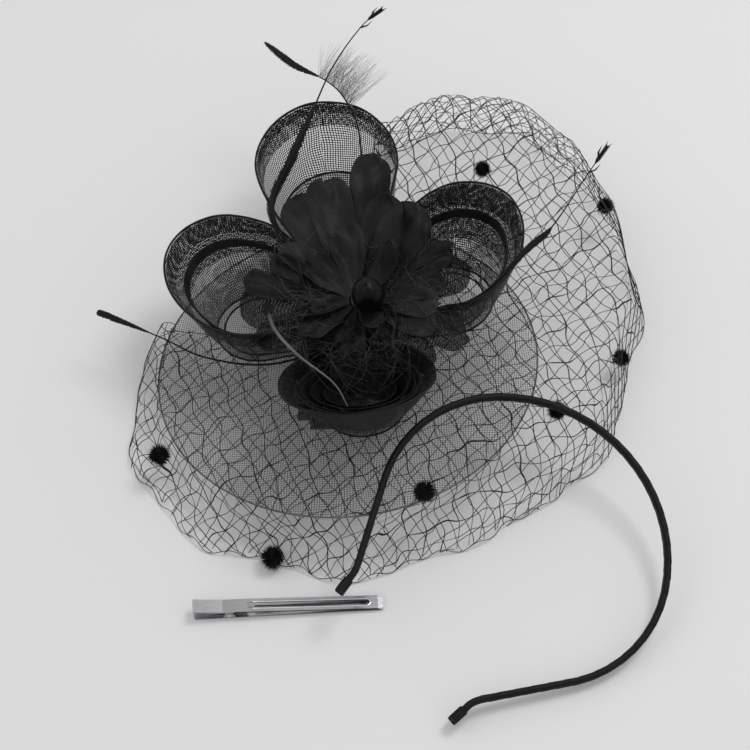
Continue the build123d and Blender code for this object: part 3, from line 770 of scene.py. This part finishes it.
# root heading, reach and height, points along the shaft, shaft radius, where the vane starts and ends, its half width
FEATHERS = {
    "feather_tall": (
        (130, CAP_ROOT, CAP_SEAT),
        ((-19, 33, 36), (-28, 51, 43), (-19, 67.5, 55), (-10, 82, 65), (0.6, 102, 75), (13, 121, 80), (22, 132, 80)),
        0.6, (0.17, 0.60), 3.3,
    ),
    "feather_lance": (
        (87, CAP_ROOT, CAP_SEAT),
        ((10, 50, 36), (9, 91.5, 45), (4, 103, 55), (-4, 113, 58), (-18, 123, 60), (-32, 140, 60)),
        0.5, (0.72, 1.0), 2.6,
    ),
    "feather_right": (
        (-8, CAP_ROOT, CAP_SEAT),
        ((36, 1, 26), (58, 5.5, 32), (77, 16, 45), (88, 23.5, 50), (103, 45.5, 55), (113, 60, 58)),
        0.55, (0.36, 0.66), 2.3,
    ),
    "feather_left": (
        (196, 7.4, 12.0),
        ((-30, -9, 13), (-56, -7, 17), (-74.5, 1, 22), (-95, 11, 25), (-102, 15, 25)),
        0.5, (0.66, 1.0), 2.2,
    ),
    "feather_front": (
        (174.7, 37.7, 29.4),
        ((-25, -12, 37), (-15, -28, 39), (-1.5, -39, 34), (4, -49, 31)),
        0.75, (0.0, 0.0), 0.0,
    ),
}


def through(points, count):
    """A smooth line through points, evenly enough spaced."""
    ends = [points[0] * 2 - points[1], *points, points[-1] * 2 - points[-2]]
    line = []
    spans = len(points) - 1
    for i in range(count):
        t = spans * i / (count - 1)
        k = min(int(t), spans - 1)
        t -= k
        a, b, c, d = ends[k : k + 4]
        line.append(
            0.5 * ((b * 2) + (c - a) * t + (a * 2 - b * 5 + c * 4 - d) * t * t + (b * 3 - a - c * 3 + d) * t**3)
        )
    return line


def feather(label, facts):
    """A bare tapering shaft whose barbs stand only where the feather wasn't stripped."""
    (heading, reach, height), places, radius, (start, stop), spread = facts
    turn = math.radians(heading)
    root = Vector((HUB.x + reach * math.cos(turn), HUB.y + reach * math.sin(turn), height))
    path = through([root, *(Vector(place) for place in places)], 110)
    shape = Shape()
    last = len(path) - 1
    shape.tube(path, [radius * (1.15 - 0.85 * i / last) for i in range(last + 1)], 7)
    chance = random.Random(len(label) * 13)
    if spread:
        for i in range(int(start * last), int(stop * last)):
            share = (i / last - start) / (stop - start)
            full = math.sin(math.pi * min(1.0, 0.08 + share * 0.9)) ** 0.7
            ahead = ahead_at(path, i)
            side = ahead.cross(VANE_UP).normalized()
            for part in range(4):
                foot = path[i].lerp(path[min(i + 1, last)], part / 4)
                for hand in (-1, 1):
                    length = spread * full * chance.uniform(0.75, 1.1) * 1.6
                    out = (ahead * 0.86 + side * hand * 0.5).normalized()
                    droop = Vector((0, 0, -0.12 * length * length / 6))
                    mid = foot + out * length * 0.5
                    end = foot + (out + ahead * 0.25).normalized() * length + droop
                    shape.tube([foot, mid, end], [0.26, 0.2, 0.06], 3)
    if label in ("feather_tall", "feather_right"):
        for at in (0.86, 0.93):
            i = int(at * last)
            ahead = (path[min(i + 2, last)] - path[i]).normalized()
            side = ahead.cross(VANE_UP).normalized() * (1 if at < 0.9 else -1)
            twig = [path[i], path[i] + ahead * 2.5 + side * 1.6, path[i] + ahead * 6 + side * 2.0]
            shape.tube(twig, [0.5, 0.4, 0.08], 4)
        for i in range(int(0.9 * last), last):
            ahead = ahead_at(path, i)
            side = ahead.cross(VANE_UP).normalized()
            for hand in (-1, 1):
                shape.tube([path[i], path[i] + (ahead + side * hand * 0.35) * 3.0], [0.3, 0.06], 3)
    finish = plume_grey if label == "feather_front" else plume
    shape.make("plume" + label[len("feather"):], finish, "headpiece", (label,), seat)
    return path


shafts = {label: feather(label, facts) for label, facts in FEATHERS.items()}


def quill_knot():
    """A small grey tangle where the front quill leaves the trimming."""
    chance = random.Random(31)
    middle = shafts["feather_front"][0]
    shape = Shape()
    for _ in range(16):
        axis = any_way(chance).normalized()
        start = axis.orthogonal().normalized() * chance.uniform(1.2, 2.6)
        ring = [middle + Matrix.Rotation(WHOLE * k / 14, 3, axis) @ start for k in range(15)]
        shape.tube(ring, 0.22, 4)
    shape.make("quill_knot", plume_grey, "headpiece", (), seat)


quill_knot()


def fluff():
    """Pale down that fans from the lance feather's shaft."""
    chance = random.Random(5)
    shape = Shape()
    path = shafts["feather_lance"]
    for _ in range(260):
        foot = path[int(len(path) * chance.uniform(0.45, 0.72))]
        angle = math.radians(chance.uniform(38, 92))
        length = chance.uniform(12, 25)
        out = polar(1.0, angle, chance.uniform(0.0, 0.22))
        line = [
            foot + out * length * s + Vector((1.6 * s * s * chance.uniform(0, 1), 0, 0))
            for s in (0, 0.35, 0.7, 1.0)
        ]
        shape.tube(line, [0.06, 0.05, 0.04, 0.02], 3)
    shape.make("plume_down", down, "headpiece", ("feather_down",), seat)


fluff()

# ================= veil =================

# heading and reach of the hem from the middle of the saucer
HEM = (
    (84, 130), (70, 154), (60, 163), (50, 157), (36, 146), (17, 134), (2, 119), (-18, 114), (-31, 104), (-50, 95),
    (-67, 91), (-89, 95), (-112, 92), (-126, 98), (-154, 97), (-170, 91), (-185, 87), (-196, 86),
)
SWEEP_HEADING = 55.0
# the headings between which there is no veil
OPENING = (84.0, 164.0)
GATHER_RADIUS = 34.0
THREAD = 0.17
NET_TURN = 88.0
NET_GAP = 6.3
NET_LEAN = 38.0
NET_REACH = 190.0
NET_STEP = 2.6


def facing(heading):
    """How much a heading faces the long side of the veil, from -1 to 1."""
    return math.cos(math.radians(heading - SWEEP_HEADING))


def hem_at(heading):
    """Reach of the veil's hem from the middle of the saucer."""
    turned = heading - 360 if heading > OPENING[0] + 0.5 else heading
    for (a, near), (b, far) in zip(HEM, HEM[1:]):
        if turned >= b:
            share = max(0.0, min(1.0, (a - turned) / (a - b)))
            return near + (far - near) * (3 - 2 * share) * share * share
    return HEM[-1][1]


def over_saucer(reach, heading, rise):
    """A point over the leaning saucer."""
    return seat @ polar(reach, math.radians(heading), rise)


def over_table(reach, heading, height):
    """A point over the table, by its reach from the saucer's middle."""
    angle = math.radians(heading)
    return Vector((BRIM_CENTRE.x + reach * math.cos(angle), BRIM_CENTRE.y + reach * math.sin(angle), height))


profiles = {}


def profile(heading, layer):
    """Points down the veil from its gathered edge over the saucer to the hem, with their lengths."""
    key = (round(heading), layer)
    if key in profiles:
        return profiles[key]
    f = facing(heading)
    fold = 0.55 * math.sin(math.radians(heading * 11 + 40 * layer)) + 0.8 * wobble((heading, 0, 0), 14.0, layer)
    lift = 0.5 + 1.6 * layer
    hem = hem_at(heading) + 1.5 * fold - 1.5 * layer
    crest = hem_at(heading) - 6.0 * (1 + 0.5 * f) + 1.0 * fold - 1.5 * layer
    height = 20.0 + 16.0 * f + 1.2 * fold + 0.8 * layer
    points = [
        over_saucer(GATHER_RADIUS - 1, heading, 6.6 + lift),
        over_saucer(56, heading, 4.6 + lift + 0.7 * fold),
        over_saucer(BRIM_RADIUS + 1, heading, 2.6 + lift + 0.5 * fold),
        over_table(crest - 7, heading, height - 1.0),
        over_table(crest, heading, height),
        over_table((crest + hem) / 2 + 0.6, heading, height * 0.45),
        over_table(hem, heading, 0.6),
    ]
    for _ in range(2):
        cut = [points[0]]
        for a, b in zip(points, points[1:]):
            cut += [a.lerp(b, 0.25), a.lerp(b, 0.75)]
        points = [*cut, points[-1]]
    profiles[key] = (points, run_lengths(points))
    return profiles[key]


def along_profile(heading, far, layer):
    """The place a distance down the veil from its gathered edge."""
    points, lengths = profile(heading, layer)
    for i in range(len(points) - 1):
        if far <= lengths[i + 1]:
            share = (far - lengths[i]) / max(1e-6, lengths[i + 1] - lengths[i])
            return points[i].lerp(points[i + 1], share)
    return points[-1].copy()


def veil_point(x, y, layer):
    """The place of a point of the flat net, or None outside the cut."""
    far = math.hypot(x, y) - GATHER_RADIUS
    heading = math.degrees(math.atan2(y, x)) % 360
    if heading < OPENING[0]:
        heading += 360
    if far < 0 or heading < OPENING[1] or heading > OPENING[0] + 360:
        return None
    low = math.floor(heading)
    if far > profile(low, layer)[1][-1]:
        return None
    share = heading - low
    a = along_profile(low, far, layer)
    b = along_profile(min(low + 1, OPENING[0] + 360), far, layer)
    place = a.lerp(b, share)
    place.z = max(0.35, place.z + 0.6 * wobble((x, y, 0), 9.0, layer + 3))
    return place


def net_lines(layer, turn, gap, lean):
    """Runs of points of the two thread families of one layer of diamond net."""
    runs = []
    count = int(NET_REACH / gap)
    directions = [math.radians(turn + lean), math.radians(turn - lean)]
    for family, angle in enumerate(directions):
        ahead = Vector((math.cos(angle), math.sin(angle)))
        side = Vector((-ahead.y, ahead.x))
        for k in range(-count, count + 1):
            run = []
            for i in range(int(2 * NET_REACH / NET_STEP)):
                flat = side * (k * gap) + ahead * (i * NET_STEP - NET_REACH)
                sway = Vector((wobble((*flat, 0), 7.0, 1 + family), wobble((*flat, 5), 7.0, 4 + family)))
                flat = flat + sway * 1.5
                place = veil_point(flat.x, flat.y, layer)
                if place is None:
                    if len(run) > 1:
                        runs.append(run)
                    run = []
                else:
                    run.append(place)
            if len(run) > 1:
                runs.append(run)
    return runs


def veil_threads():
    """The net's own threads, its hem and its two side edges."""
    shape = Shape()
    for run in net_lines(0, NET_TURN, NET_GAP, NET_LEAN):
        shape.tube(run, THREAD, 4)
    hem = []
    for heading in range(int(OPENING[1]), int(OPENING[0]) + 361):
        far = profile(heading, 0)[1][-1]
        place = along_profile(heading, far - 1.2 + 1.2 * math.sin(math.radians(heading * 40)), 0)
        hem.append(Vector((place.x, place.y, max(0.35, place.z))))
    shape.tube(hem, THREAD * 1.1, 4)
    for heading in (OPENING[1], OPENING[0] + 360):
        shape.tube(profile(heading, 0)[0], THREAD * 1.1, 4)
    return shape.make("veil_threads", thread, "headpiece")


def veil_cloth(threads):
    """The second layer of net as one cloth from the gathered edge over the saucer to the hem."""
    shape = Shape()
    rows, uvs = [], []
    headings = range(int(OPENING[1]), int(OPENING[0]) + 361, 2)
    for r in range(31):
        row, flat = [], []
        for heading in headings:
            far = profile(heading, 1)[1][-1] * r / 30
            place = along_profile(heading, far, 1)
            row.append(Vector((place.x, place.y, max(0.3, place.z))))
            reach, angle = GATHER_RADIUS + far, math.radians(heading)
            flat.append((reach * math.cos(angle), reach * math.sin(angle)))
        rows.append(row)
        uvs.append(flat)
    shape.grid(rows, uvs)
    obj = shape.make("veil_cloth", net_cloth, "headpiece", ("veil_net", "veil_gather"))


veil_cloth(veil_threads())

# ================= chenille dots =================

# how far the photograph has a dot from its solid
DOT_SHIFTS = {2: (-4.0, -1.0, 0.0), 3: (-7.0, 0.0, -1.0), 4: (-1.0, -7.5, -3.0), 5: (0.0, -8.0, -3.0)}
FIBRES = 1300


def chenille_dot(which):
    """A tuft of short fibres on the net."""
    label = f"chenille_dot_{which}"
    low, high = (Vector(corner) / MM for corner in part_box(label))
    centre = (low + high) / 2 + Vector(DOT_SHIFTS.get(which, (0, 0, 0)))
    size = (high - low).length / 3**0.5 / 2 * 1.06
    chance = random.Random(which)
    shape = Shape()
    for _ in range(FIBRES):
        out = any_way(chance).normalized()
        reach = size * chance.uniform(0.78, 1.0) * (1 + 0.14 * wobble(out, 0.6, which))
        tip = centre + out * reach + any_way(chance) * 0.5
        tip.z = max(tip.z, 0.3)
        shape.spike(centre + out * size * 0.15, tip, 0.22)
    shape.make(f"tuft_{which}", tuft, "headpiece", (label,), None, False)


for which in range(1, 8):
    chenille_dot(which)

# ================= headband =================

BAND_ORIGIN = Vector((97.4, -43.4, 26.3))
BAND_X = Vector((0.6702, -0.6934, -0.2647)).normalized()
BAND_NORMAL = Vector((0.1097, -0.2602, 0.9593)).normalized()
BAND_Y = BAND_NORMAL.cross(BAND_X)
# each half as radius and turn in degrees, or a length alone
RIGHT_HALF = ((62.0, -53.5), (50.0, -67.3), (35.0,), (12.0, 30.5), (8.0,))
LEFT_HALF = ((62.0, 53.5), (50.0, 67.3), (35.0,), (17.7, -18.9), (8.0,))
BAND_WIDTH = 4.2
BAND_THICKNESS = 2.8
BAND_STEP = 0.8
WRAP_PITCH = 6.5


def walk(heading, pieces):
    """Flat points of a chain of arcs and straights that starts at the crown."""
    at = Vector((0.0, 0.0))
    points = [at.copy()]
    for piece in pieces:
        length = piece[0] if len(piece) == 1 else math.radians(abs(piece[1])) * piece[0]
        count = max(2, round(length / BAND_STEP))
        half = math.radians(piece[1]) / count / 2 if len(piece) == 2 else 0.0
        for _ in range(count):
            heading += half
            at = at + Vector((math.cos(heading), math.sin(heading))) * (length / count)
            heading += half
            points.append(at.copy())
    return points


def headband():
    """The padded arch wound with narrow satin ribbon."""
    right = walk(0.0, RIGHT_HALF)
    left = walk(math.pi, LEFT_HALF)
    flat = list(reversed(left)) + right[1:]
    path = [BAND_ORIGIN + BAND_X * p.x + BAND_Y * p.y for p in flat]
    sides = 20
    shape = Shape()
    rows = []
    far = 0.0
    last = len(path) - 1
    for i, point in enumerate(path):
        across = ahead_at(path, i).cross(BAND_NORMAL).normalized()
        if i:
            far += (point - path[i - 1]).length
        cap = min(i, last - i)
        taper = 1.0 if cap > 2 else (0.35, 0.8, 0.95)[cap]
        row = []
        for k in range(sides):
            angle = WHOLE * k / sides
            c, s = math.cos(angle), math.sin(angle)
            wide = math.copysign(abs(c) ** 0.75, c) * BAND_WIDTH / 2
            thick = math.copysign(abs(s) ** 0.75, s) * BAND_THICKNESS / 2
            step = (far / WRAP_PITCH + k / sides) % 1.0
            swell = 0.97 + 0.10 * step
            row.append(point + (BAND_NORMAL * wide + across * thick) * swell * taper)
        rows.append(row)
    shape.grid(rows, closed=True)
    base = len(rows[0]) * last
    shape.faces.append(tuple(reversed(range(sides))))
    shape.faces.append(tuple(base + k for k in range(sides)))
    shape.make("headband_wound", band_satin, "headband", ("headband_cover", "headband_core"))


headband()

# ================= hair clip =================

CLIP_AT = Vector((-71.3, -102.6, 0.0))
CLIP_HEADING = 3.4
CLIP_WIDTH = 5.6
ARM_START, ARM_END = (16.3, 4.9), (72.0, 1.9)
SLOT = (23.0, 67.6)
RIDGE_REACH = 1.45
clip_seat = Matrix.Translation(CLIP_AT) @ Matrix.Rotation(math.radians(CLIP_HEADING), 4, "Z")


def arm_top(x):
    """Height of the jaw's upper face."""
    share = (x - ARM_START[0]) / (ARM_END[0] - ARM_START[0])
    return ARM_START[1] + (ARM_END[1] - ARM_START[1]) * share


def clip_ridges():
    """The pressed ridge round the jaw's slot in a lighter plate as a painted highlight, and dark tubes of painted
    shade along the two long edges and under the slot.
    """
    ridge = Shape()
    path = [Vector((SLOT[0] + (SLOT[1] - SLOT[0]) * k / 20, RIDGE_REACH, 0)) for k in range(21)]
    for k in range(1, 9):
        angle = math.pi / 2 - math.pi * k / 9
        path.append(Vector((SLOT[1] + RIDGE_REACH * math.cos(angle), RIDGE_REACH * math.sin(angle), 0)))
    path += [Vector((SLOT[1] + (SLOT[0] - SLOT[1]) * k / 20, -RIDGE_REACH, 0)) for k in range(21)]
    for point in path:
        point.z = arm_top(point.x) + 0.02
    ridge.tube(path, 0.34, 8)
    # The ridge's shape is real; its lighter plate is a painted highlight.
    ridge.make("jaw_ridge", ridge_highlight, "clip_jaw", (), clip_seat)
    edges = Shape()
    # Dark tubes along the two long edges: painted shade lines.
    for hand in (-1, 1):
        line = []
        for k in range(25):
            x = ARM_START[0] + (ARM_END[0] - ARM_START[0]) * k / 24
            line.append(Vector((x, hand * (CLIP_WIDTH / 2 - 0.02), arm_top(x) - 0.35)))
        edges.tube(line, 0.24, 6)
    # A dark tube under the slot: painted shade in the slot.
    slot_shade = [Vector((x, 0, arm_top(x) - 0.75)) for x in (SLOT[0] + 1, 45.0, SLOT[1])]
    edges.tube(slot_shade, 0.3, 6)
    edges.make("jaw_shade", shade_metal, "clip_jaw", (), clip_seat)


clip_ridges()

# ================= finishes of the carried-over pieces =================

FINISHES = {
    "felt_pad": felt,
    "strap_back": ribbon_black,
    "strap_front": ribbon_black,
    "stitched_hub": felt,
    "flower_stem": felt,
    "tip_wrap_left": band_satin,
    "tip_wrap_right": band_satin,
    "clip_lower_arm": bright,
    "clip_upper_arm": bright,
    "clip_pin": steel,
    "clip_spring": steel,
}
for node, finish in FINISHES.items():
    for slot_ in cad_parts[node].material_slots:
        slot_.material = finish

# ================= stage, light and camera =================

FLOOR = 0.74


def stage():
    """A pale table; its far edge is in view only from low down."""
    material, tree, shader = start_material("table")
    noisy_colour(tree, shader, (FLOOR * 0.985,) * 3, (FLOOR,) * 3, 3.0)
    shader.inputs["Roughness"].default_value = 0.8
    mesh = bpy.data.meshes.new("table")
    mesh.from_pydata([(-6, -6, 0), (6, -6, 0), (6, 6, 0), (-6, 6, 0)], [], [(0, 1, 2, 3)])
    mesh.materials.append(material)
    table = placed("table", mesh)


def lamp(name, place, aim, size, power):
    """A round area lamp; lengths in metres, power in watts."""
    data = bpy.data.lights.new(name, "AREA")
    data.shape = "DISK"
    data.size = size
    data.energy = power
    obj = placed(name, data)
    obj.location = place
    obj.rotation_euler = (Vector(aim) - Vector(place)).to_track_quat("-Z", "Y").to_euler()


def camera():
    """The photograph's view: 55 degrees above the table, no roll."""
    data = bpy.data.cameras.new("view")
    data.angle = 2 * math.atan(375 / 1785)
    data.clip_end = 20
    obj = placed("view", data)
    obj.location = (-0.00057, -0.42586, 0.62402)
    obj.rotation_euler = (math.radians(35), 0, 0)
    bpy.context.scene.camera = obj


stage()
lamp("key", (0.5, 0.3, 1.15), (0, 0, 0), 0.5, 5.2)
lamp("fill", (-0.7, -0.2, 0.9), (0, 0, 0), 0.8, 1.0)
world = bpy.data.worlds.new("world")
world.use_nodes = True
world.node_tree.nodes["Background"].inputs["Color"].default_value = (1, 1, 1, 1)
world.node_tree.nodes["Background"].inputs["Strength"].default_value = 0.67
bpy.context.scene.world = world
camera()
bpy.context.scene.view_settings.view_transform = "Standard"
